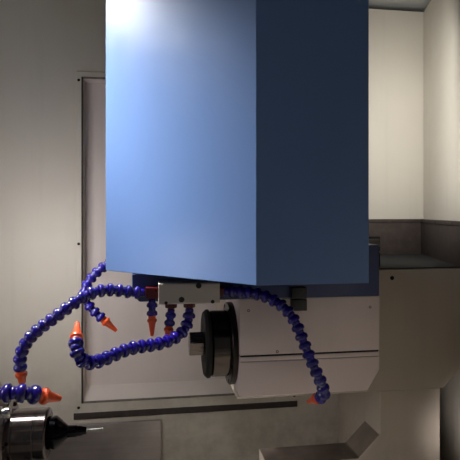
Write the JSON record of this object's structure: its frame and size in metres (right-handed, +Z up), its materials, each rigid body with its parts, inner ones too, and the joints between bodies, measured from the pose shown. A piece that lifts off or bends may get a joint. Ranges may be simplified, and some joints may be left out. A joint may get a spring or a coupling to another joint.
{
  "type": "cnc tool grinder",
  "caption": "Five-axis tool grinder: cabin with sliding door leaves, a blue-covered wheel head with modular coolant hoses, and a swivelling work head on a table.",
  "frame": {"origin": "on the floor under the middle of the machine, at the centre of its outline", "axes": "+X to the operator's right, +Y to the rear, +Z up"},
  "size_m": [1.6, 1.702, 1.98],
  "materials": {
    "cabin_paint": "satin powder coat",
    "wall_paint": "satin beige paint",
    "casting_paint": "beige machine paint",
    "head_paint": "beige machine paint",
    "blue_paint": "semi-gloss blue paint",
    "dark_blue_paint": "semi-gloss dark blue paint",
    "cast_iron": "machined",
    "steel": "ground steel",
    "bright_steel": "polished",
    "black_oxide": "black oxide",
    "dark_steel": "turned, oily",
    "abrasive": "black bonded abrasive",
    "hose_blue": "glossy moulded plastic",
    "nozzle_orange": "moulded plastic",
    "manifold_grey": "machined",
    "fitting_red": "moulded plastic",
    "window_glass": "clear",
    "screen_black": "glossy",
    "panel_grey": "fine texture paint",
    "button_red": "moulded plastic",
    "lamp_white": "diffuser",
    "foot_steel": "cast"
  },
  "bodies": {
    "machine": {"base_skirts": "cabin_paint", "bed_casting": "casting_paint", "bridge_housing": "casting_paint", "cabinet_box": "cabin_paint", "chip_tray": "wall_paint", "column_foot": "casting_paint", "door_tracks": "steel", "drive_units": "panel_grey", "front_frame": "cabin_paint", "levelling_feet": "foot_steel", "mast": "cast_iron", "operator_panel": "panel_grey", "panel_screen": "screen_black", "rear_panel": "cabin_paint", "rear_wall": "wall_paint", "recess_pan": "wall_paint", "recess_trim": "wall_paint", "roof_panel": "cabin_paint", "side_panels": "cabin_paint", "slanted_wall": "wall_paint", "slide_rails": "steel", "splash_plate": "steel", "work_light": "lamp_white"},
    "cross_slide": {"cross_saddle": "cast_iron", "lift_rails": "steel"},
    "wheel_head": {"ram": "cast_iron", "head_carrier": "dark_blue_paint", "head_upper": "head_paint", "head_lower": "head_paint", "blue_cover": "blue_paint", "spindle_nose": "dark_steel", "coolant_manifold": "manifold_grey", "coolant_fittings": "fitting_red", "rear_hose": "hose_blue", "short_hoses": "hose_blue", "head_nozzles": "nozzle_orange"},
    "wheel_spindle": {"wheel_hub": "dark_steel", "grinding_wheel": "abrasive", "wheel_nut": "black_oxide"},
    "left_coolant_hose": {"left_hose": "hose_blue", "left_nozzle": "nozzle_orange"},
    "lower_coolant_hose": {"lower_hose": "hose_blue", "lower_nozzle": "nozzle_orange"},
    "right_coolant_hose": {"right_hose": "hose_blue", "right_nozzle": "nozzle_orange"},
    "table": {"work_table": "cast_iron"},
    "work_head": {"swivel_base": "cast_iron", "work_housing": "casting_paint"},
    "work_spindle": {"work_chuck": "bright_steel", "collet_nut": "black_oxide", "tool_blank": "steel"},
    "work_coolant_hose": {"work_hose": "hose_blue", "work_nozzle": "nozzle_orange"},
    "left_door": {"left_door_leaf": "cabin_paint", "left_door_window": "window_glass"},
    "right_door": {"right_door_leaf": "cabin_paint", "right_door_window": "window_glass"},
    "left_cabinet_leaf": {"left_cabinet_door": "cabin_paint"},
    "right_cabinet_leaf": {"right_cabinet_door": "cabin_paint"},
    "stop": {"stop_button": "button_red"}
  },
  "joints": [
    {"name": "cross_slide_x", "type": "slide", "parent": "machine", "child": "cross_slide", "axis": [1, 0, 0], "range_m": [-0.06, 0.12]},
    {"name": "head_lift_z", "type": "slide", "parent": "cross_slide", "child": "wheel_head", "axis": [0, 0, 1], "range_m": [-0.12, 0.05]},
    {"name": "wheel_spin", "type": "hinge", "parent": "wheel_head", "child": "wheel_spindle", "pos_m": [0.1, 0.005, 1.164], "axis": [1, 0, 0], "continuous": true},
    {"name": "left_hose_swivel", "type": "hinge", "parent": "wheel_head", "child": "left_coolant_hose", "pos_m": [-0.006, -0.093, 1.2725], "axis": [1, 0, 0], "range_deg": [-6, 6]},
    {"name": "lower_hose_swivel", "type": "hinge", "parent": "wheel_head", "child": "lower_coolant_hose", "pos_m": [0.063, -0.093, 1.2475], "axis": [0, 0, 1], "range_deg": [-6, 6]},
    {"name": "right_hose_swivel", "type": "hinge", "parent": "wheel_head", "child": "right_coolant_hose", "pos_m": [0.118, -0.093, 1.2725], "axis": [1, 0, 0], "range_deg": [-6, 6]},
    {"name": "table_slide_y", "type": "slide", "parent": "machine", "child": "table", "axis": [0, -1, 0], "range_m": [-0.08, 0.16]},
    {"name": "work_head_swivel", "type": "hinge", "parent": "table", "child": "work_head", "pos_m": [-0.35, 0.005, 0.79], "axis": [0, 0, 1], "range_deg": [-30, 30]},
    {"name": "work_spin", "type": "hinge", "parent": "work_head", "child": "work_spindle", "pos_m": [-0.2, 0.005, 1.021], "axis": [1, 0, 0], "continuous": true},
    {"name": "work_hose_swivel", "type": "hinge", "parent": "work_head", "child": "work_coolant_hose", "pos_m": [-0.202, -0.2, 1.16], "axis": [1, 0, 0], "range_deg": [-20, 20]},
    {"name": "left_door_slide", "type": "slide", "parent": "machine", "child": "left_door", "axis": [1, 0, 0], "range_m": [0, 0.337]},
    {"name": "right_door_slide", "type": "slide", "parent": "machine", "child": "right_door", "axis": [-1, 0, 0], "range_m": [0, 0.337]},
    {"name": "left_cabinet_hinge", "type": "hinge", "parent": "machine", "child": "left_cabinet_leaf", "pos_m": [-0.64, 0.828, 1.08], "axis": [0, 0, 1], "range_deg": [0, 110]},
    {"name": "right_cabinet_hinge", "type": "hinge", "parent": "machine", "child": "right_cabinet_leaf", "pos_m": [0.64, 0.828, 1.08], "axis": [0, 0, -1], "range_deg": [0, 110]},
    {"name": "stop_press", "type": "slide", "parent": "machine", "child": "stop", "axis": [0, 1, 0], "range_m": [0, 0.005], "stiffness_N_per_m": 400}
  ]
}
